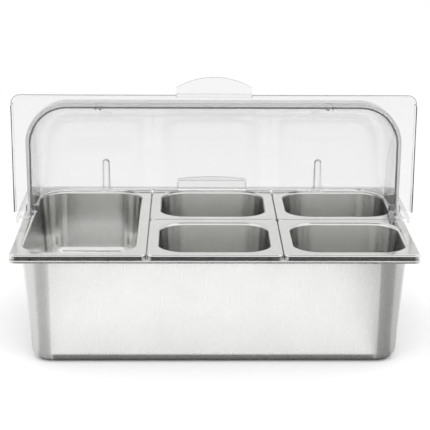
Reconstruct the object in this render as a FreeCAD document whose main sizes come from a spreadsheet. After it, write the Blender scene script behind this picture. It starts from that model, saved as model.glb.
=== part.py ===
import FreeCAD, Part
import math
import os

import Sketcher

# A condiment server: a deep stainless pan, five smaller pans hung in its mouth on two bars,
# and a clear roll-top lid in two half shells that turn on a pin at each end.
# The origin is the centre of the outer pan's base, +X along the length, +Y to the rear, +Z up.

# Driving dimensions, in millimetres and degrees.
sizes = {
    # Outer pan
    "outer_length": 530,
    "outer_depth": 325,
    "outer_height": 150,
    "outer_rim": 12.5,
    "outer_edge": 4,
    "outer_bend": 2,
    "outer_base_radius": 16,
    # What all the pans share: sheet, corners of rim and mouth, wall
    "pan_sheet": 0.8,
    "rim_corner": 8,
    "mouth_corner": 37.5,
    "shoulder": 4.5,
    "wall_taper": 4.3,
    # Inner pans and how they hang
    "inner_height": 100,
    "inner_edge": 6.6,
    "inner_bend": 2.5,
    "inner_base_radius": 20,
    "rim_inset": 0.3,
    "pan_gap": 0.8,
    "nest_gap": 1.5,
    # Adapter bars
    "bar_sheet": 1,
    "bar_width": 22,
    "bar_leg": 12,
    "bar_bend": 1.5,
    "bar_end_gap": 3,
    "tongue_width": 18,
    "tongue_setback": 3,
    "tongue_corner": 4,
    # Lid shells
    "lid_wall": 3,
    "lid_clearance": 0.3,
    "lid_overhang": 8,
    "flange_sheet": 3,
    "flange_corner": 11.5,
    "flange_round": 1.5,
    "flange_gap": 0.8,
    "lip_wall": 3,
    "lip_drop": 6.5,
    "dome_side_inset": 16.4,
    "dome_front_inset": 19.5,
    "dome_corner": 50,
    "mouth_round": 4,
    "dome_root": 1,
    "shell_gap": 1.3,
    "pivot_rise": 15,
    "open_angle": 90,
    "stop_gap": 0.4,
    "trailing_gap": 1.6,
    # Lift tab and flutes of each shell
    "tab_width": 102,
    "tab_depth": 22,
    "tab_straight": 8,
    "tab_sheet": 2.2,
    "tab_wall": 3,
    "tab_rise": 11,
    "flute_place": 156,
    "flute_width": 11,
    "flute_depth": 2.2,
    "flute_height": 44,
    "flute_root": 0.5,
    # Pivots
    "boss_gap": 1.7,
    "pin_radius": 2.5,
    "pin_clearance": 0.06,
    "head_radius": 6,
    "head_height": 2.5,
    "head_round": 1.8,
    "washer_radius": 7.5,
    "washer_clearance": 0.1,
    "cap_radius": 5.5,
    "cap_grip": 4,
    "cap_floor": 1.5,
    "cap_round": 1.2,
}

doc = FreeCAD.newDocument("condiment_server")
sheet = doc.addObject("Spreadsheet::Sheet", "Sizes")
for row, (alias, number) in enumerate(sizes.items(), start=1):
    sheet.set(f"A{row}", alias)
    sheet.set(f"B{row}", str(number))
    sheet.setAlias(f"B{row}", alias)
doc.recompute()

# Sizes that follow from the driving ones.
COLUMN = "((Sizes.outer_length - 2 * Sizes.rim_inset - 2 * Sizes.pan_gap) / 3)"
FULL_ROW = "(Sizes.outer_depth - 2 * Sizes.rim_inset)"
HALF_ROW = f"(({FULL_ROW} - Sizes.pan_gap) / 2)"
INNER_RIM = "(Sizes.outer_rim - Sizes.rim_inset + Sizes.pan_sheet + Sizes.nest_gap)"
INNER_MOUTH_CORNER = "(Sizes.mouth_corner - Sizes.nest_gap - Sizes.pan_sheet)"
INNER_RIM_TOP = "(Sizes.outer_height + Sizes.bar_sheet + Sizes.inner_edge)"
PIVOT_HEIGHT = f"({INNER_RIM_TOP} + Sizes.lid_clearance + Sizes.pivot_rise)"
LID_HALF_LENGTH = "(Sizes.outer_length / 2 + Sizes.lid_overhang)"
LID_REACH = "(Sizes.outer_depth / 2)"
BOSS_RADIUS = "(Sizes.pivot_rise - Sizes.flange_sheet - Sizes.boss_gap)"
BORE_RADIUS = "(Sizes.pin_radius + Sizes.pin_clearance)"

# Inside of the two domes: half length along the pivots, radius about them, corner radius.
FRONT_HALF = "(Sizes.outer_length / 2 - Sizes.dome_side_inset)"
FRONT_RADIUS = "(Sizes.outer_depth / 2 - Sizes.dome_front_inset)"
FRONT_CORNER = "Sizes.dome_corner"
LAYER = "(Sizes.lid_wall + Sizes.shell_gap)"
REAR_HALF = f"({FRONT_HALF} + {LAYER})"
REAR_RADIUS = f"({FRONT_RADIUS} + {LAYER})"
REAR_CORNER = f"({FRONT_CORNER} + {LAYER})"

# How far round the pivots each dome runs. Swung open, the front flange stops just short of the
# rear dome's leading edge, and the front dome's trailing edge stays clear above the pan rims.
TOP_OF_REAR = f"({REAR_RADIUS} + Sizes.lid_wall)"
TOP_OF_FRONT = f"({FRONT_RADIUS} + Sizes.lid_wall)"
REAR_SWEEP = (
    "(180 - Sizes.open_angle) * 1 deg"
    f" + asin((Sizes.pivot_rise - Sizes.flange_sheet - Sizes.stop_gap) / {TOP_OF_REAR})"
)
FRONT_SWEEP = (
    "(180 - Sizes.open_angle) * 1 deg"
    f" + asin((Sizes.pivot_rise - Sizes.trailing_gap) / {TOP_OF_FRONT})"
)


# Places nearer to each other than this, in millimetres, are the same place.
SAME_PLACE = 1e-3


def value(expression):
    """The number that an expression of the sheet has now."""
    result = sheet.evalExpression(expression)
    return float(getattr(result, "Value", result))


def new_body(label):
    body = doc.addObject("PartDesign::Body", label)
    body.Label = label
    return body


def new_sketch(body, name, role="XY_Plane", offset="0"):
    """A sketch on one of the body's own origin planes, moved along its normal."""
    sketch = body.newObject("Sketcher::SketchObject", name)
    plane = next(item for item in body.Origin.OriginFeatures if item.Role == role)
    sketch.AttachmentSupport = (plane, [""])
    sketch.MapMode = "FlatFace"
    sketch.setExpression("AttachmentOffset.Base.z", offset)
    return sketch


def constrain(sketch, kind, *places):
    return sketch.addConstraint(Sketcher.Constraint(kind, *places))


def dimension(sketch, kind, *places, size):
    """A dimension whose number is an expression of the sheet."""
    index = constrain(sketch, kind, *places, value(size))
    sketch.setExpression(f"Constraints[{index}]", size)


def line(x_start, y_start, x_end, y_end):
    return Part.LineSegment(FreeCAD.Vector(x_start, y_start), FreeCAD.Vector(x_end, y_end))


def arc(x_centre, y_centre, radius, start, end):
    circle = Part.Circle(FreeCAD.Vector(x_centre, y_centre), FreeCAD.Vector(0, 0, 1), radius)
    return Part.ArcOfCircle(circle, math.radians(start), math.radians(end))


# Sketcher's names for the ends of an edge and for the origin and its axes.
START, END, CENTRE = range(1, 4)
ORIGIN = (-1, 1)
ACROSS, UPRIGHT = -1, -2


def rectangle(sketch, width, depth):
    """A rectangle centred on the origin."""
    x, y = value(width) / 2, value(depth) / 2
    corners = ((-x, -y), (x, -y), (x, y), (-x, y))
    sides = sketch.addGeometry([line(*corners[i - 1], *corners[i]) for i in range(4)])
    for index in range(4):
        constrain(sketch, "Coincident", sides[index - 1], END, sides[index], START)
    for index in (0, 2):
        constrain(sketch, "Vertical", sides[index])
        constrain(sketch, "Horizontal", sides[index + 1])
    constrain(sketch, "Symmetric", sides[1], START, sides[3], START, *ORIGIN)
    dimension(sketch, "DistanceX", sides[1], START, sides[1], END, size=width)
    dimension(sketch, "DistanceY", sides[2], START, sides[2], END, size=depth)


def rounded_rectangle(sketch, width, depth, corner):
    """A rectangle with round corners, centred on the origin."""
    half_x, half_y, radius = value(width) / 2, value(depth) / 2, value(corner)
    x, y = half_x - radius, half_y - radius
    outline = sketch.addGeometry([
        line(-x, -half_y, x, -half_y),
        arc(x, -y, radius, 270, 360),
        line(half_x, -y, half_x, y),
        arc(x, y, radius, 0, 90),
        line(x, half_y, -x, half_y),
        arc(-x, y, radius, 90, 180),
        line(-half_x, y, -half_x, -y),
        arc(-x, -y, radius, 180, 270),
    ])
    for index in range(8):
        constrain(sketch, "Tangent", outline[index - 1], END, outline[index], START)
    for index in (0, 4):
        constrain(sketch, "Horizontal", outline[index])
        constrain(sketch, "Vertical", outline[index + 2])
    for index in (3, 5, 7):
        constrain(sketch, "Equal", outline[1], outline[index])
    constrain(sketch, "Symmetric", outline[0], START, outline[4], START, *ORIGIN)
    dimension(sketch, "DistanceX", outline[6], START, outline[2], START, size=width)
    dimension(sketch, "DistanceY", outline[0], START, outline[4], START, size=depth)
    dimension(sketch, "Radius", outline[1], size=corner)


def half_tray(sketch, half_length, reach, corner, setback=None):
    """A long outline with two round corners at -Y and a straight side on or near the X axis."""
    x, y, radius = value(half_length), value(reach), value(corner)
    near = value(setback) if setback else 0
    outline = sketch.addGeometry([
        line(-x, -near, -x, radius - y),
        arc(radius - x, radius - y, radius, 180, 270),
        line(radius - x, -y, x - radius, -y),
        arc(x - radius, radius - y, radius, 270, 360),
        line(x, radius - y, x, -near),
        line(x, -near, -x, -near),
    ])
    left, left_corner, front, right_corner, right, straight = outline
    constrain(sketch, "Tangent", left, END, left_corner, START)
    constrain(sketch, "Tangent", left_corner, END, front, START)
    constrain(sketch, "Tangent", front, END, right_corner, START)
    constrain(sketch, "Tangent", right_corner, END, right, START)
    constrain(sketch, "Coincident", right, END, straight, START)
    constrain(sketch, "Coincident", straight, END, left, START)
    constrain(sketch, "Vertical", left)
    constrain(sketch, "Vertical", right)
    constrain(sketch, "Horizontal", front)
    constrain(sketch, "Equal", left_corner, right_corner)
    constrain(sketch, "Symmetric", straight, START, straight, END, UPRIGHT)
    if setback:
        dimension(sketch, "DistanceY", straight, START, *ORIGIN, size=setback)
    else:
        constrain(sketch, "PointOnObject", straight, START, ACROSS)
    dimension(sketch, "DistanceX", straight, END, straight, START, size=f"2 * {half_length}")
    dimension(sketch, "DistanceY", front, START, *ORIGIN, size=reach)
    dimension(sketch, "Radius", left_corner, size=corner)


def bow_radius(width, height):
    """The radius of the arc that stands so high on a chord so wide."""
    return f"({width} * {width} / 4 + {height} * {height}) / (2 * {height})"


def half_moon(sketch, width, root, straight, tip):
    """A lift tab's outline: straight flanks from the root, then one arc out to the tip."""
    x, y_root, y_flank, y_tip = value(width) / 2, value(root), value(straight), value(tip)
    radius = bow_radius(width, f"({tip} - {straight})")
    y_centre = value(radius) - y_tip
    spread = math.degrees(math.asin(x / value(radius)))
    left, bow, right, base = sketch.addGeometry([
        line(-x, -y_root, -x, -y_flank),
        arc(0, y_centre, value(radius), 270 - spread, 270 + spread),
        line(x, -y_flank, x, -y_root),
        line(x, -y_root, -x, -y_root),
    ])
    constrain(sketch, "Coincident", left, END, bow, START)
    constrain(sketch, "Coincident", bow, END, right, START)
    constrain(sketch, "Coincident", right, END, base, START)
    constrain(sketch, "Coincident", base, END, left, START)
    constrain(sketch, "Vertical", left)
    constrain(sketch, "Vertical", right)
    constrain(sketch, "Symmetric", base, START, base, END, UPRIGHT)
    constrain(sketch, "PointOnObject", bow, CENTRE, UPRIGHT)
    dimension(sketch, "DistanceX", base, END, base, START, size=width)
    dimension(sketch, "DistanceY", base, START, *ORIGIN, size=root)
    dimension(sketch, "DistanceY", left, END, *ORIGIN, size=straight)
    dimension(sketch, "Radius", bow, size=radius)


def bead(sketch, place, root, width, height, inward):
    """The section of a flute: an arc on a chord that lies inside the wall."""
    radius = bow_radius(width, height)
    x, y_root, half = value(place), -value(root), value(width) / 2
    up = 1 if inward else -1
    spread = math.degrees(math.asin(half / value(radius)))
    y_centre = y_root + up * (value(height) - value(radius))
    bow, chord = sketch.addGeometry([
        arc(x, y_centre, value(radius), 90 * up - spread, 90 * up + spread),
        line(x - up * half, y_root, x + up * half, y_root),
    ])
    constrain(sketch, "Coincident", bow, END, chord, START)
    constrain(sketch, "Coincident", chord, END, bow, START)
    constrain(sketch, "Horizontal", chord)
    left, right = (START, END) if inward else (END, START)
    dimension(sketch, "Radius", bow, size=radius)
    dimension(sketch, "DistanceX", chord, left, chord, right, size=width)
    dimension(sketch, "DistanceX", *ORIGIN, bow, CENTRE, size=place)
    dimension(sketch, "DistanceY", chord, START, *ORIGIN, size=root)


def half_bead(sketch, place, root, width, height, inward):
    """Half of that section, drawn from its middle line, about which the flute's end is turned."""
    radius = bow_radius(width, height)
    x, y_root, half = value(place), -value(root), value(width) / 2
    up = 1 if inward else -1
    spread = math.degrees(math.asin(half / value(radius)))
    y_top = y_root + up * value(height)
    turn = (90 - spread, 90) if inward else (-90, spread - 90)
    middle, bow, chord = sketch.addGeometry([
        line(x, y_root, x, y_top),
        arc(x, y_top - up * value(radius), value(radius), *turn),
        line(x + half, y_root, x, y_root),
    ])
    top, foot = (END, START) if inward else (START, END)
    constrain(sketch, "Coincident", middle, END, bow, top)
    constrain(sketch, "Coincident", bow, foot, chord, START)
    constrain(sketch, "Coincident", chord, END, middle, START)
    constrain(sketch, "Vertical", middle)
    constrain(sketch, "Horizontal", chord)
    constrain(sketch, "PointOnObject", bow, CENTRE, middle)
    dimension(sketch, "Radius", bow, size=radius)
    dimension(sketch, "DistanceX", chord, END, chord, START, size=f"{width} / 2")
    dimension(sketch, "DistanceX", *ORIGIN, middle, START, size=place)
    dimension(sketch, "DistanceY", middle, START, *ORIGIN, size=root)


def round_outline(sketch, radius):
    circle = sketch.addGeometry(
        Part.Circle(FreeCAD.Vector(0, 0), FreeCAD.Vector(0, 0, 1), value(radius)))
    constrain(sketch, "Coincident", circle, CENTRE, *ORIGIN)
    dimension(sketch, "Radius", circle, size=radius)


def pad(body, sketch, length, down=False, taper=None, both_ways=False):
    feature = body.newObject("PartDesign::Pad", f"{sketch.Name}_pad")
    feature.Profile = sketch
    feature.setExpression("Length", length)
    feature.Reversed = down
    if both_ways:
        feature.SideType = "Symmetric"
    if taper:
        feature.setExpression("TaperAngle", taper)
    doc.recompute()
    return feature


def must_cut(body, feature, volume_before):
    """Stops the build if a cut has missed the solid."""
    doc.recompute()
    if not feature.Shape.Volume < volume_before:
        raise RuntimeError(f"{body.Label}: {feature.Name} cuts nothing")
    return feature


def pocket(body, sketch, depth, up=False, taper=None, both_ways=False):
    volume_before = body.Shape.Volume
    feature = body.newObject("PartDesign::Pocket", f"{sketch.Name}_pocket")
    feature.Profile = sketch
    feature.setExpression("Length", depth)
    feature.Reversed = up
    if both_ways:
        feature.SideType = "Symmetric"
    if taper:
        feature.setExpression("TaperAngle", taper)
    return must_cut(body, feature, volume_before)


def turned(body, sketch, kind, angle, axis="H_Axis", reverse=False):
    """A revolution or a groove about the sketch's own X axis or one of its edges."""
    feature = body.newObject(f"PartDesign::{kind}", f"{sketch.Name}_{kind.lower()}")
    feature.Profile = sketch
    feature.ReferenceAxis = (sketch, [axis])
    feature.setExpression("Angle", angle)
    feature.Reversed = reverse
    doc.recompute()
    return feature


def fillet(body, feature, edges, radius, name):
    rounding = body.newObject("PartDesign::Fillet", name)
    rounding.Base = (feature, edges)
    rounding.setExpression("Radius", radius)
    doc.recompute()
    return rounding


def edges_at(feature, level, accept=None):
    """The edges that lie whole at one height, or those of them that a test on their box accepts."""
    names = []
    for number, edge in enumerate(feature.Shape.Edges, start=1):
        box = edge.BoundBox
        flat = abs(box.ZMin - level) < SAME_PLACE and abs(box.ZMax - level) < SAME_PLACE
        if flat and (accept is None or accept(box)):
            names.append(f"Edge{number}")
    return names


def pan(label, width, depth, height, rim, edge, bend, mouth_corner, base_radius):
    """A deep-drawn pan: flat rim with a turned-down edge, round shoulder, tapered wall, round base."""
    body = new_body(label)
    rim_bottom = f"({height} - {edge})"
    rim_underside = f"({height} - Sizes.pan_sheet)"
    mouth_width = f"({width} - 2 * {rim})"
    mouth_depth = f"({depth} - 2 * {rim})"
    middle_x = value(width) / 2 - value(rim) / 2
    middle_y = value(depth) / 2 - value(rim) / 2

    def at_wall(box):
        return max(-box.XMin, box.XMax) < middle_x and max(-box.YMin, box.YMax) < middle_y

    slab = new_sketch(body, f"{label}_rim", offset=rim_bottom)
    rounded_rectangle(slab, width, depth, "Sizes.rim_corner")
    pad(body, slab, edge)

    hollow = new_sketch(body, f"{label}_rim_hollow", offset=rim_bottom)
    rounded_rectangle(hollow, f"{width} - 2 * Sizes.pan_sheet", f"{depth} - 2 * Sizes.pan_sheet",
                      "Sizes.rim_corner - Sizes.pan_sheet")
    turned_down = pocket(body, hollow, f"{edge} - Sizes.pan_sheet", up=True)
    turned_down = fillet(body, turned_down, edges_at(turned_down, value(height)), bend, f"{label}_rim_bend")
    fillet(body, turned_down, edges_at(turned_down, value(rim_underside)), f"{bend} - Sizes.pan_sheet",
           f"{label}_rim_bend_inside")

    wall = new_sketch(body, f"{label}_wall", offset=rim_underside)
    rounded_rectangle(wall, f"{mouth_width} + 2 * Sizes.pan_sheet", f"{mouth_depth} + 2 * Sizes.pan_sheet",
                      f"{mouth_corner} + Sizes.pan_sheet")
    drawn = pad(body, wall, rim_underside, down=True, taper="-Sizes.wall_taper")
    fillet(body, drawn, edges_at(drawn, value(rim_underside), at_wall),
           "Sizes.shoulder - Sizes.pan_sheet", f"{label}_shoulder_outside")

    inside = new_sketch(body, f"{label}_inside", offset=height)
    rounded_rectangle(inside, mouth_width, mouth_depth, mouth_corner)
    bowl = pocket(body, inside, rim_underside, taper="-Sizes.wall_taper")
    bowl = fillet(body, bowl, edges_at(bowl, value("Sizes.pan_sheet")),
                  f"{base_radius} - Sizes.pan_sheet", f"{label}_base_round_inside")
    bowl = fillet(body, bowl, edges_at(bowl, 0), base_radius, f"{label}_base_round")
    fillet(body, bowl, edges_at(bowl, value(height), at_wall), "Sizes.shoulder", f"{label}_shoulder")
    return body


def adapter_bar(label, place):
    """A pressed channel whose web runs on past the legs as a tongue at each end."""
    body = new_body(label)
    leg_length = "(Sizes.outer_depth - 2 * Sizes.outer_rim - 2 * Sizes.bar_end_gap)"
    inner_width = "(Sizes.bar_width - 2 * Sizes.bar_sheet)"
    half_width = value("Sizes.bar_width") / 2

    def along_bend(box):
        return box.YLength > value(leg_length) / 2 and abs(abs(box.XMin) - half_width) < SAME_PLACE

    block = new_sketch(body, f"{label}_channel", offset="Sizes.bar_sheet")
    rectangle(block, "Sizes.bar_width", leg_length)
    channel = pad(body, block, "Sizes.bar_leg", down=True)
    channel = fillet(body, channel, edges_at(channel, value("Sizes.bar_sheet"), along_bend),
                     "Sizes.bar_bend", f"{label}_bend")
    hollow = new_sketch(body, f"{label}_hollow")
    rectangle(hollow, inner_width, leg_length)
    pocket(body, hollow, "Sizes.bar_leg")
    tongue = new_sketch(body, f"{label}_tongue")
    rounded_rectangle(tongue, "Sizes.tongue_width", "Sizes.outer_depth - 2 * Sizes.tongue_setback",
                      "Sizes.tongue_corner")
    pad(body, tongue, "Sizes.bar_sheet")
    body.setExpression("Placement.Base.x", place)
    body.setExpression("Placement.Base.z", "Sizes.outer_height")
    return body


def lid_shell(label, half, radius, corner, sweep, flutes_inward):
    """One half of the roll-top, modelled closed towards -Y with the pivots along its X axis."""
    body = new_body(label)
    underside = "-Sizes.pivot_rise"
    outer_half = f"({half} + Sizes.lid_wall)"
    outer_radius = f"({radius} + Sizes.lid_wall)"
    half_gap = "Sizes.flange_gap / 2"
    flange_top = value("Sizes.flange_sheet - Sizes.pivot_rise")

    # Flange that lies on the pan rims, with a lip down each end.
    rim = new_sketch(body, f"{label}_flange", offset=underside)
    half_tray(rim, LID_HALF_LENGTH, LID_REACH, "Sizes.flange_corner", half_gap)
    flange = pad(body, rim, "Sizes.flange_sheet")

    def outer_edge(box):
        return box.YMin < -value(half_gap) - SAME_PLACE

    fillet(body, flange, edges_at(flange, flange_top, outer_edge), "Sizes.flange_round",
           f"{label}_flange_round")
    lips = new_sketch(body, f"{label}_lips", offset=underside)
    half_tray(lips, LID_HALF_LENGTH, f"({LID_REACH} - Sizes.flange_corner)", "Sizes.lip_wall", half_gap)
    pad(body, lips, "Sizes.lip_drop", down=True)
    under = new_sketch(body, f"{label}_under_flange", offset=underside)
    half_tray(under, f"({LID_HALF_LENGTH} - Sizes.lip_wall)", LID_REACH, "Sizes.lip_wall")
    pocket(body, under, "Sizes.lip_drop")

    # Half-moon lift tab on top of a low wall at the outer edge, clear of the flange for the fingers.
    tab_foot = f"({LID_REACH} - Sizes.tab_wall)"
    tab_wall = new_sketch(body, f"{label}_tab_wall", offset=underside)
    half_tray(tab_wall, "(Sizes.tab_width / 2)", LID_REACH, "Sizes.flange_round", tab_foot)
    pad(body, tab_wall, "Sizes.tab_rise")
    tab = new_sketch(body, f"{label}_tab", offset=f"{underside} + Sizes.tab_rise")
    half_moon(tab, "Sizes.tab_width", tab_foot, f"({LID_REACH} + Sizes.tab_straight)",
              f"({LID_REACH} + Sizes.tab_depth)")
    pad(body, tab, "Sizes.tab_sheet")

    # Dome turned about the pivots, straight skirt down to the flange, and the pivot bosses.
    outside = new_sketch(body, f"{label}_outside")
    half_tray(outside, outer_half, outer_radius, f"({corner} + Sizes.lid_wall)")
    turned(body, outside, "Revolution", sweep, reverse=True)
    skirt = pad(body, outside, "Sizes.pivot_rise", down=True)

    def dome_root(box):
        return box.XMax < value(outer_half) + SAME_PLACE and box.XMin > -value(outer_half) - SAME_PLACE

    fillet(body, skirt, edges_at(skirt, flange_top, dome_root), "Sizes.dome_root", f"{label}_dome_root")
    boss = new_sketch(body, f"{label}_boss", role="YZ_Plane")
    round_outline(boss, BOSS_RADIUS)
    pad(body, boss, f"2 * {outer_half}", both_ways=True)

    # The hollow: a full turn inside the dome, then straight out through the mouth.
    inside = new_sketch(body, f"{label}_inside")
    half_tray(inside, half, radius, corner)
    volume_before = body.Shape.Volume
    must_cut(body, turned(body, inside, "Groove", "360"), volume_before)
    mouth = pocket(body, inside, "Sizes.pivot_rise")

    def mouth_edge(box):
        return box.XMax < value(half) + SAME_PLACE and box.XMin > -value(half) - SAME_PLACE

    fillet(body, mouth, edges_at(mouth, value(underside), mouth_edge), "Sizes.mouth_round",
           f"{label}_mouth_round")
    bore = new_sketch(body, f"{label}_bore", role="YZ_Plane")
    round_outline(bore, BORE_RADIUS)
    pocket(body, bore, f"2 * {outer_half}", both_ways=True)

    # Two flutes with round tops that stiffen the front of the wall, up from the flange.
    root = f"({radius} + Sizes.flute_root)" if flutes_inward else f"({outer_radius} - Sizes.flute_root)"
    flute_section = ("Sizes.flute_place", root, "Sizes.flute_width",
                     "(Sizes.flute_depth + Sizes.flute_root)", flutes_inward)
    flute_turn = f"((Sizes.flute_height - Sizes.pivot_rise) / {radius} * 1 rad)"
    flute = new_sketch(body, f"{label}_flute")
    bead(flute, *flute_section)
    lower = pad(body, flute, "Sizes.pivot_rise", down=True)
    upper = turned(body, flute, "Revolution", flute_turn, reverse=True)
    flute_top = new_sketch(body, f"{label}_flute_top")
    half_bead(flute_top, *flute_section)
    flute_top.setExpression(
        "AttachmentOffset",
        f"placement(vector(0; 0; 0); rotation(vector(1; 0; 0); -{flute_turn}))")
    top = turned(body, flute_top, "Revolution", "180", axis="Edge1", reverse=flutes_inward)
    both = body.newObject("PartDesign::Mirrored", f"{label}_flutes")
    both.Originals = [lower, upper, top]
    both.MirrorPlane = (next(p for p in body.Origin.OriginFeatures if p.Role == "YZ_Plane"), [""])
    body.Tip = both
    doc.recompute()
    return body


def round_piece(label, start, length, radius):
    """A disc or shank along X, which the caller goes on from."""
    body = new_body(label)
    outline = new_sketch(body, f"{label}_outline", role="YZ_Plane", offset=start)
    round_outline(outline, radius)
    return body, pad(body, outline, length)


def edges_at_x(feature, level):
    return [f"Edge{number}" for number, edge in enumerate(feature.Shape.Edges, start=1)
            if abs(edge.BoundBox.XMin - level) < SAME_PLACE and abs(edge.BoundBox.XMax - level) < SAME_PLACE]


def pivot_pin(label):
    """A headed pin from outside the rear shell to inside the front one."""
    body, head = round_piece(label, f"{REAR_HALF} + Sizes.lid_wall", "Sizes.head_height",
                             "Sizes.head_radius")
    face = value(f"{REAR_HALF} + Sizes.lid_wall + Sizes.head_height")
    fillet(body, head, edges_at_x(head, face), "Sizes.head_round", f"{label}_head_round")
    shank = new_sketch(body, f"{label}_shank", role="YZ_Plane", offset=f"{REAR_HALF} + Sizes.lid_wall")
    round_outline(shank, "Sizes.pin_radius")
    pad(body, shank, f"{LAYER} + Sizes.lid_wall + Sizes.washer_clearance + Sizes.cap_grip", down=True)
    return body


def pivot_washer(label):
    """A flat spacer ring between the two end walls."""
    start = f"{FRONT_HALF} + Sizes.lid_wall + Sizes.washer_clearance"
    thickness = "Sizes.shell_gap - 2 * Sizes.washer_clearance"
    body, _ = round_piece(label, start, thickness, "Sizes.washer_radius")
    hole = new_sketch(body, f"{label}_hole", role="YZ_Plane", offset=start)
    round_outline(hole, BORE_RADIUS)
    pocket(body, hole, thickness, up=True)
    return body


def pivot_cap(label):
    """A blind cap pushed on to the pin's inner end."""
    start = f"{FRONT_HALF} - Sizes.washer_clearance - Sizes.cap_grip - Sizes.cap_floor"
    body, cap = round_piece(label, start, "Sizes.cap_grip + Sizes.cap_floor", "Sizes.cap_radius")
    fillet(body, cap, edges_at_x(cap, value(start)), "Sizes.cap_round", f"{label}_round")
    hole = new_sketch(body, f"{label}_hole", role="YZ_Plane",
                      offset=f"{FRONT_HALF} - Sizes.washer_clearance")
    round_outline(hole, "Sizes.pin_radius")
    pocket(body, hole, "Sizes.cap_grip")
    return body


# The outer pan stands on its base.
pieces = [pan("outer_pan", "Sizes.outer_length", "Sizes.outer_depth", "Sizes.outer_height",
              "Sizes.outer_rim", "Sizes.outer_edge", "Sizes.outer_bend", "Sizes.mouth_corner",
              "Sizes.outer_base_radius")]

# A bar lies on the rim under each line where two columns of pans meet.
COLUMN_PITCH = f"({COLUMN} + Sizes.pan_gap)"
ROW_OFFSET = f"(({HALF_ROW} + Sizes.pan_gap) / 2)"
pieces.append(adapter_bar("adapter_bar_left", f"-{COLUMN_PITCH} / 2"))
pieces.append(adapter_bar("adapter_bar_right", f"{COLUMN_PITCH} / 2"))

# One long pan fills the left column, and two short ones fill each of the others.
inner_pans = {
    "third_pan_left": (FULL_ROW, f"-{COLUMN_PITCH}", "0"),
    "sixth_pan_front_middle": (HALF_ROW, "0", f"-{ROW_OFFSET}"),
    "sixth_pan_rear_middle": (HALF_ROW, "0", ROW_OFFSET),
    "sixth_pan_front_right": (HALF_ROW, COLUMN_PITCH, f"-{ROW_OFFSET}"),
    "sixth_pan_rear_right": (HALF_ROW, COLUMN_PITCH, ROW_OFFSET),
}
for label, (depth, x_place, y_place) in inner_pans.items():
    body = pan(label, COLUMN, depth, "Sizes.inner_height", INNER_RIM, "Sizes.inner_edge",
               "Sizes.inner_bend", INNER_MOUTH_CORNER, "Sizes.inner_base_radius")
    body.setExpression("Placement.Base.x", x_place)
    body.setExpression("Placement.Base.y", y_place)
    body.setExpression("Placement.Base.z", f"{INNER_RIM_TOP} - Sizes.inner_height")
    pieces.append(body)

# The rear shell is closed over the rear row, and the front one stands open inside it.
rear = lid_shell("lid_rear_shell", REAR_HALF, REAR_RADIUS, REAR_CORNER, REAR_SWEEP, False)
rear.setExpression("Placement",
                   f"placement(vector(0; 0; {PIVOT_HEIGHT}); rotation(vector(0; 0; 1); 180))")
front = lid_shell("lid_front_shell", FRONT_HALF, FRONT_RADIUS, FRONT_CORNER, FRONT_SWEEP, True)
front.setExpression(
    "Placement",
    f"placement(vector(0; 0; {PIVOT_HEIGHT}); rotation(vector(1; 0; 0); -Sizes.open_angle))")
pieces += [rear, front]

# A pin, a washer and a cap at each end, the left ones turned round.
for side, turn in (("right", 0), ("left", 180)):
    for make, name in ((pivot_pin, "pivot_pin"), (pivot_washer, "pivot_washer"), (pivot_cap, "pivot_cap")):
        body = make(f"{name}_{side}")
        body.setExpression(
            "Placement",
            f"placement(vector(0; 0; {PIVOT_HEIGHT}); rotation(vector(0; 0; 1); {turn}))")
        pieces.append(body)

doc.recompute()
for item in doc.Objects:
    if "Invalid" in item.State or "Error" in item.State:
        raise RuntimeError(f"{item.Name} failed: {item.State}")
for body in pieces:
    if body.Shape.isNull() or not body.Shape.isValid() or len(body.Shape.Solids) != 1:
        raise RuntimeError(f"{body.Label} is not one sound solid")

os.makedirs("parts", exist_ok=True)
for body in pieces:
    body.Shape.exportStep(f"parts/{body.Label}.step")
    print(f"{body.Label}: {body.Shape.Volume / 1000:.1f} cm3")
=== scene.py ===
from math import cos, radians, sin

import bmesh
import bpy
from mathutils import Matrix

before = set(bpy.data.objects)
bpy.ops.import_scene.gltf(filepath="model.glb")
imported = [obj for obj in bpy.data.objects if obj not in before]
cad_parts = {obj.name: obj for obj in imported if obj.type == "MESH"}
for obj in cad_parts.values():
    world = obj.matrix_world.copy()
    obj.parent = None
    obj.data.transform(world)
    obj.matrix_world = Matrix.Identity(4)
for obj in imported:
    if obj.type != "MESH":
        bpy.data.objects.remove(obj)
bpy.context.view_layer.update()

# Outer pan: one deep stainless tray, drawn from sheet, the body that everything hangs in.
# The rim is pressed flat and its edge is turned down. It stands on its own flat base.
MM = 0.001


def linear(hex_colour):
    """An sRGB hex colour as the linear colour that shaders take."""
    shares = [int(hex_colour[i:i + 2], 16) / 255 for i in (1, 3, 5)]
    return [s / 12.92 if s <= 0.04045 else ((s + 0.055) / 1.055) ** 2.4 for s in shares] + [1.0]


def add(tree, kind, settings=(), links=()):
    """Adds one node: settings by property or input name, links by input name from other outputs."""
    node = tree.nodes.new(kind)
    for name, setting in dict(settings).items():
        if hasattr(node, str(name)):
            setattr(node, name, setting)
        else:
            node.inputs[name].default_value = setting
    for name, output in dict(links).items():
        tree.links.new(output, node.inputs[name])
    return node


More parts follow.
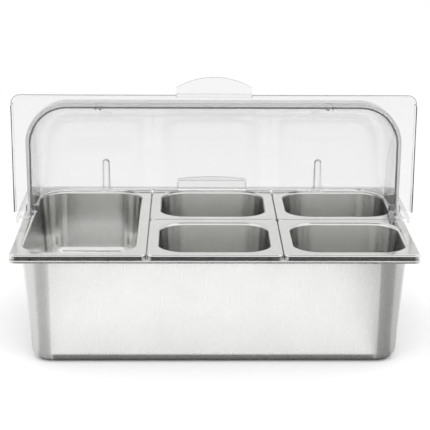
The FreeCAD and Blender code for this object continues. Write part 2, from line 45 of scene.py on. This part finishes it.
# Stainless sheet with a drawn satin finish: a grey mirror, blurred by fine upright draw marks
# and clouded a little where the sheet was stretched. Real draw marks lie about 0.2 mm apart;
# they are drawn 1.6 mm apart, so that they show.
mark_spacing = 1.6 * MM
mark_length = 60 * MM
mark_depth = 0.02 * MM
cloud_size = 45 * MM
satin = bpy.data.materials.new("stainless_steel_satin_drawn")
satin.use_nodes = True
tree = satin.node_tree
shader = tree.nodes["Principled BSDF"]
shader.inputs["Metallic"].default_value = 1.0
shader.inputs["Anisotropic"].default_value = 0.45
place = add(tree, "ShaderNodeTexCoord").outputs["Object"]
mark_place = add(tree, "ShaderNodeMapping",
                 {"Scale": (1 / mark_spacing, 1 / mark_spacing, 1 / mark_length)}, {"Vector": place})
marks = add(tree, "ShaderNodeTexNoise", {"Scale": 1.0, "Detail": 2.0},
            {"Vector": mark_place.outputs["Vector"]})
clouds = add(tree, "ShaderNodeTexNoise", {"Scale": 1 / cloud_size, "Detail": 3.0}, {"Vector": place})
tone = add(tree, "ShaderNodeValToRGB", {}, {"Fac": clouds.outputs["Fac"]})
tone.color_ramp.elements[0].position = 0.3
tone.color_ramp.elements[0].color = linear("#e6e6e4")
tone.color_ramp.elements[1].position = 0.7
tone.color_ramp.elements[1].color = linear("#eaeae9")
tree.links.new(tone.outputs["Color"], shader.inputs["Base Color"])
blur = add(tree, "ShaderNodeMapRange", {"To Min": 0.24, "To Max": 0.33}, {"Value": marks.outputs["Fac"]})
tree.links.new(blur.outputs["Result"], shader.inputs["Roughness"])
ridges = add(tree, "ShaderNodeBump", {"Strength": 0.03, "Distance": mark_depth},
             {"Height": marks.outputs["Fac"]})
tree.links.new(ridges.outputs["Normal"], shader.inputs["Normal"])
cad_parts["outer_pan"].material_slots[0].material = satin

# Adapter bars and inner pans: thinner stainless sheet of the same make. The bars lie across the
# mouth and carry the long sides of the pans, which lift out one by one.

# Thinner sheet with the same draw marks, rolled smoother: a sharper mirror, so that the rim edges show
# as crisp dark and light lines.
bright = satin.copy()
bright.name = "stainless_steel_bright_satin"
bright.node_tree.nodes["Map Range"].inputs["To Min"].default_value = 0.14
bright.node_tree.nodes["Map Range"].inputs["To Max"].default_value = 0.24
for name in ("adapter_bar_left", "adapter_bar_right", "third_pan_left", "sixth_pan_front_middle",
             "sixth_pan_rear_middle", "sixth_pan_front_right", "sixth_pan_rear_right"):
    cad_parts[name].material_slots[0].material = bright

# Lid: two moulded half shells of clear polycarbonate, one nested inside the other, which turn on
# a pin at each end. Gloss nearly all over, clear as glass, with a trace of grey in the thickness.
pivot_height = 172.9 * MM

# Clear moulded sheet: edges that show as sharp lines, and a faint ripple in the gloss, 30 mm across, left
# by the mould. Its shine, seen face on, is held back to a fifth, so that the bright pans do not crowd the
# dome with reflections.
ripple_width = 30 * MM
clear_tone = linear("#f6f6f6")
shine_share = 0.2
clear = bpy.data.materials.new("polycarbonate_clear_gloss")
clear.use_nodes = True
tree = clear.node_tree
shader = tree.nodes["Principled BSDF"]
shader.inputs["Base Color"].default_value = clear_tone
shader.inputs["Transmission Weight"].default_value = 1.0
shader.inputs["IOR"].default_value = 1.585
shader.inputs["Specular Tint"].default_value = (shine_share, shine_share, shine_share, 1.0)
place = add(tree, "ShaderNodeTexCoord").outputs["Object"]
ripple = add(tree, "ShaderNodeTexNoise", {"Scale": 1 / ripple_width, "Detail": 1.0}, {"Vector": place})
gloss = add(tree, "ShaderNodeMapRange", {"To Min": 0.005, "To Max": 0.03}, {"Value": ripple.outputs["Fac"]})
tree.links.new(gloss.outputs["Result"], shader.inputs["Roughness"])

# Front half: the same sheet with the round edge of its mouth left slightly hazy by the mould, so that the
# mouth shows as a soft grey line instead of the dark that a polished round gathers. The mouth is a
# rectangle with round upper corners, and its round edge begins 11 mm in front of the pivots.
dome_radius = 143 * MM
mouth_half_width = 248.6 * MM
mouth_corner = 50 * MM
mouth_round = 4 * MM
mouth_back = -11 * MM
mouth_clearness = 0.8
corner_centre = (mouth_half_width - mouth_corner, 0, pivot_height + dome_radius - mouth_corner)
hazy_mouth = clear.copy()
hazy_mouth.name = "polycarbonate_clear_gloss_hazy_mouth"
tree = hazy_mouth.node_tree
shader = tree.nodes["Principled BSDF"]
place = tree.nodes["Texture Coordinate"].outputs["Object"]
mirrored = add(tree, "ShaderNodeVectorMath", {"operation": "ABSOLUTE"}, {0: place})
past = add(tree, "ShaderNodeVectorMath", {"operation": "SUBTRACT", 1: corner_centre},
           {0: mirrored.outputs["Vector"]})
outward = add(tree, "ShaderNodeVectorMath", {"operation": "MAXIMUM", 1: (0, 0, 0)},
              {0: past.outputs["Vector"]})
across = add(tree, "ShaderNodeVectorMath", {"operation": "MULTIPLY", 1: (1, 0, 1)},
             {0: outward.outputs["Vector"]})
reach = add(tree, "ShaderNodeVectorMath", {"operation": "LENGTH"}, {0: across.outputs["Vector"]})
near_mouth = add(tree, "ShaderNodeMath", {"operation": "LESS_THAN", 1: mouth_corner + mouth_round},
                 {0: reach.outputs["Value"]})
depth = add(tree, "ShaderNodeSeparateXYZ", {}, {"Vector": place})
in_front = add(tree, "ShaderNodeMath", {"operation": "LESS_THAN", 1: mouth_back}, {0: depth.outputs["Y"]})
round_edge = add(tree, "ShaderNodeMath", {"operation": "MULTIPLY"},
                 {0: near_mouth.outputs["Value"], 1: in_front.outputs["Value"]})
see_through = add(tree, "ShaderNodeMapRange", {"To Min": 1.0, "To Max": mouth_clearness},
                  {"Value": round_edge.outputs["Value"]})
tree.links.new(see_through.outputs["Result"], shader.inputs["Transmission Weight"])

# The flange around the mouth is painted a trace greyer than the dome, as painted shade.
flange = add(tree, "ShaderNodeMath", {"operation": "SUBTRACT"},
             {0: in_front.outputs["Value"], 1: round_edge.outputs["Value"]})
flange_painted_shade = add(tree, "ShaderNodeValToRGB", {}, {"Fac": flange.outputs["Value"]})
flange_painted_shade.color_ramp.elements[0].color = clear_tone
flange_painted_shade.color_ramp.elements[1].color = linear("#f0f0f0")
tree.links.new(flange_painted_shade.outputs["Color"], shader.inputs["Base Color"])
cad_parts["lid_front_shell"].material_slots[0].material = hazy_mouth

# Rear half: the same sheet with its cut front edge trimmed and left matt, so that it shows pale grey
# instead of the dark that a polished edge gathers. The cut leans 4.5 degrees forward through the pivots.
cut_lean = radians(4.5)
cut_facing = (0, cos(cut_lean), sin(cut_lean))
cut_depth = 0.5 * MM
cut_roughness = 0.5
cut_clearness = 0.2
trimmed = clear.copy()
trimmed.name = "polycarbonate_clear_gloss_matt_edge"
tree = trimmed.node_tree
shader = tree.nodes["Principled BSDF"]
place = tree.nodes["Texture Coordinate"].outputs["Object"]
behind = add(tree, "ShaderNodeVectorMath", {"operation": "DOT_PRODUCT", 1: cut_facing}, {0: place})
edge = add(tree, "ShaderNodeMath", {"operation": "LESS_THAN", 1: pivot_height * sin(cut_lean) + cut_depth},
           {0: behind.outputs["Value"]})
matt = add(tree, "ShaderNodeMath", {"operation": "MULTIPLY_ADD", 1: cut_roughness},
           {0: edge.outputs["Value"], 2: tree.nodes["Map Range"].outputs["Result"]})
see_through = add(tree, "ShaderNodeMapRange", {"To Min": 1.0, "To Max": cut_clearness},
                  {"Value": edge.outputs["Value"]})
tree.links.new(see_through.outputs["Result"], shader.inputs["Transmission Weight"])

# Its two flutes, low on the back wall, are left satin by the mould and show as soft streaks.
any_depth = 1000 * MM
flute_place = (156 * MM, 0, 161 * MM)
flute_reach = (10 * MM, any_depth, 60 * MM)
fade_start = 0.8
flute_roughness = 0.3
mirrored = add(tree, "ShaderNodeVectorMath", {"operation": "ABSOLUTE"}, {0: place})
aside = add(tree, "ShaderNodeVectorMath", {"operation": "SUBTRACT", 1: flute_place},
            {0: mirrored.outputs["Vector"]})
share = add(tree, "ShaderNodeVectorMath", {"operation": "DIVIDE", 1: flute_reach},
            {0: aside.outputs["Vector"]})
away = add(tree, "ShaderNodeVectorMath", {"operation": "LENGTH"}, {0: share.outputs["Vector"]})
flute = add(tree, "ShaderNodeMapRange",
            {"From Min": fade_start, "From Max": 1.0, "To Min": flute_roughness, "To Max": 0.0},
            {"Value": away.outputs["Value"]})
satin_flute = add(tree, "ShaderNodeMath", {"operation": "ADD"},
                  {0: matt.outputs["Value"], 1: flute.outputs["Result"]})
tree.links.new(satin_flute.outputs["Value"], shader.inputs["Roughness"])
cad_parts["lid_rear_shell"].material_slots[0].material = trimmed

# Clear sheet lets the light through, so neither half casts a shadow.
for name in ("lid_front_shell", "lid_rear_shell"):
    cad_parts[name].visible_shadow = False

# Pivots: moulded pins, washers and push-on caps of the same clear plastic, one set at each end of the
# lid. The pin goes through both end walls, with the washer between them and the cap inside.

# Small clear mouldings: a little greyer and duller than the lid sheet, so that they can be made out.
pivot = clear.copy()
pivot.name = "polycarbonate_clear_moulded"
pivot.node_tree.nodes["Principled BSDF"].inputs["Base Color"].default_value = linear("#ededed")
pivot.node_tree.nodes["Map Range"].inputs["To Min"].default_value = 0.04
pivot.node_tree.nodes["Map Range"].inputs["To Max"].default_value = 0.12
for side in ("left", "right"):
    for name in ("pivot_pin", "pivot_washer", "pivot_cap"):
        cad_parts[f"{name}_{side}"].material_slots[0].material = pivot


# Floor: one wide sheet of white paper, laid flat, that the pan stands on. It is plain and matt,
# and it catches the soft shadow.
def lay_sheet(name, material_name, colour, corners):
    """Lays one flat sheet with a matt face on the stage, by its corners, and returns it."""
    shape = bmesh.new()
    shape.faces.new([shape.verts.new(corner) for corner in corners])
    mesh = bpy.data.meshes.new(name)
    shape.to_mesh(mesh)
    shape.free()
    matt_face = bpy.data.materials.new(material_name)
    matt_face.use_nodes = True
    matt_face.node_tree.nodes["Principled BSDF"].inputs["Base Color"].default_value = linear(colour)
    matt_face.node_tree.nodes["Principled BSDF"].inputs["Roughness"].default_value = 0.9
    mesh.materials.append(matt_face)
    sheet = bpy.data.objects.new(name, mesh)
    bpy.context.scene.collection.objects.link(sheet)
    return sheet


def oblong(half_width, first_edge, second_edge):
    """The corners of an oblong sheet between two edges along X, each given by its Y and Z."""
    return [(-half_width, *first_edge), (half_width, *first_edge),
            (half_width, *second_edge), (-half_width, *second_edge)]


half_floor = 1600 * MM
lay_sheet("floor", "paper_white_matt", "#fcfcfc", oblong(half_floor, (-half_floor, 0), (half_floor, 0)))

# Grey and black cards above the white floor, painted matt: the steel mirrors them as soft bands at its
# corners, rim edges and foot, and only reflections see them. Four are fans, which lie about a millimetre
# above the floor and spread from under the pan's front corners. Each has its tone, its side, the two
# angles from straight ahead that it spreads between, in degrees, and its height.
fan_start = (210 * MM, -115 * MM)
fan_reach = 800 * MM
fans = {
    "card_left_pale": ("#e0e0e0", -1, (10, 126), 0.8 * MM),
    "card_left_grey": ("#b0b0b0", -1, (15, 66), 1.0 * MM),
    "card_right_pale": ("#c6c6c6", 1, (5, 126), 0.8 * MM),
    "card_right_grey": ("#8c8c8c", 1, (11, 74), 1.0 * MM),
}
cards = {}
for name, (card_tone, side, angles, height) in fans.items():
    corners = [(side * fan_start[0], fan_start[1], height)]
    for angle in angles:
        corners.append((side * (fan_start[0] + fan_reach * sin(radians(angle))),
                        fan_start[1] - fan_reach * cos(radians(angle)), height))
    cards[name] = (card_tone, corners)

# The others are oblong: one just under the round of the pan's foot, a painted shadow that the foot mirrors
# as the shade beneath it, one low and far in front, which the open lid mirrors, one upright strip nearer in
# front, which only the rim edges mirror, one upright behind, which the flat rims mirror, so that their
# bends stand out brighter, and one high in front, which draws a fine dark line along each bend, so that the
# seams between the pans show. Each has its tone, half its width, and the Y and Z of its two edges along X.
oblongs = {
    # Painted shadow: a grey sheet under the foot, standing in for the shade there; only reflections see it.
    "card_under_painted_shadow": ("#848484", 252 * MM, (-151 * MM, 0.3 * MM), (151 * MM, 0.3 * MM)),
    "card_front": ("#202020", 300 * MM, (-1300 * MM, 2 * MM), (-550 * MM, 2 * MM)),
    "card_edge": ("#202020", 320 * MM, (-320 * MM, 78 * MM), (-320 * MM, 124 * MM)),
    "card_rear": ("#d0d0d0", 1500 * MM, (1200 * MM, 380 * MM), (1200 * MM, 800 * MM)),
    "card_high": ("#707070", 800 * MM, (-1600 * MM, 2000 * MM), (-350 * MM, 2000 * MM)),
}
for name, (card_tone, half_width, first_edge, second_edge) in oblongs.items():
    cards[name] = (card_tone, oblong(half_width, first_edge, second_edge))

for name, (card_tone, corners) in cards.items():
    card = lay_sheet(name, f"{name}_matt_paint", card_tone, corners)
    card.visible_camera = False
    card.visible_diffuse = False
    card.visible_shadow = False
    card.visible_transmission = False

# Light: an even white room, which is also the white background, and one wide soft lamp high in front.
# The lamp lights the paper and the matt faces; the steel and the lid mirror only the room and the cards.
world = bpy.data.worlds.new("white_room")
bpy.context.scene.world = world
world.use_nodes = True
room = world.node_tree.nodes["Background"]
room.inputs["Color"].default_value = (1, 1, 1, 1)
room.inputs["Strength"].default_value = 1.0

lamp_place = (0.0, -1.2, 1.7)
lamp_tilt = radians(28)
lamp = bpy.data.lights.new("softbox", "AREA")
lamp.shape = "RECTANGLE"
lamp.size = 2.2
lamp.size_y = 1.6
lamp.energy = 14
lamp_object = bpy.data.objects.new("softbox", lamp)
lamp_object.matrix_world = Matrix.Translation(lamp_place) @ Matrix.Rotation(lamp_tilt, 4, "X")
lamp_object.visible_glossy = False
bpy.context.scene.collection.objects.link(lamp_object)

# Camera: about two metres in front with a long lens, a little to the left and looking down on the rims,
# as fitted to the rims in the photograph.
camera_place = (-0.0321, -1.9254, 0.7270)
turn_right = radians(1.022)
look_down = radians(16.313)
roll = radians(0.358)
camera = bpy.data.cameras.new("camera")
camera.sensor_width = 36
camera.lens = 121.20
camera_object = bpy.data.objects.new("camera", camera)
camera_object.matrix_world = (
    Matrix.Translation(camera_place)
    @ Matrix.Rotation(-turn_right, 4, "Z")
    @ Matrix.Rotation(radians(90) - look_down, 4, "X")
    @ Matrix.Rotation(roll, 4, "Z"))
bpy.context.scene.collection.objects.link(camera_object)
bpy.context.scene.camera = camera_object
bpy.context.scene.view_settings.view_transform = "Standard"
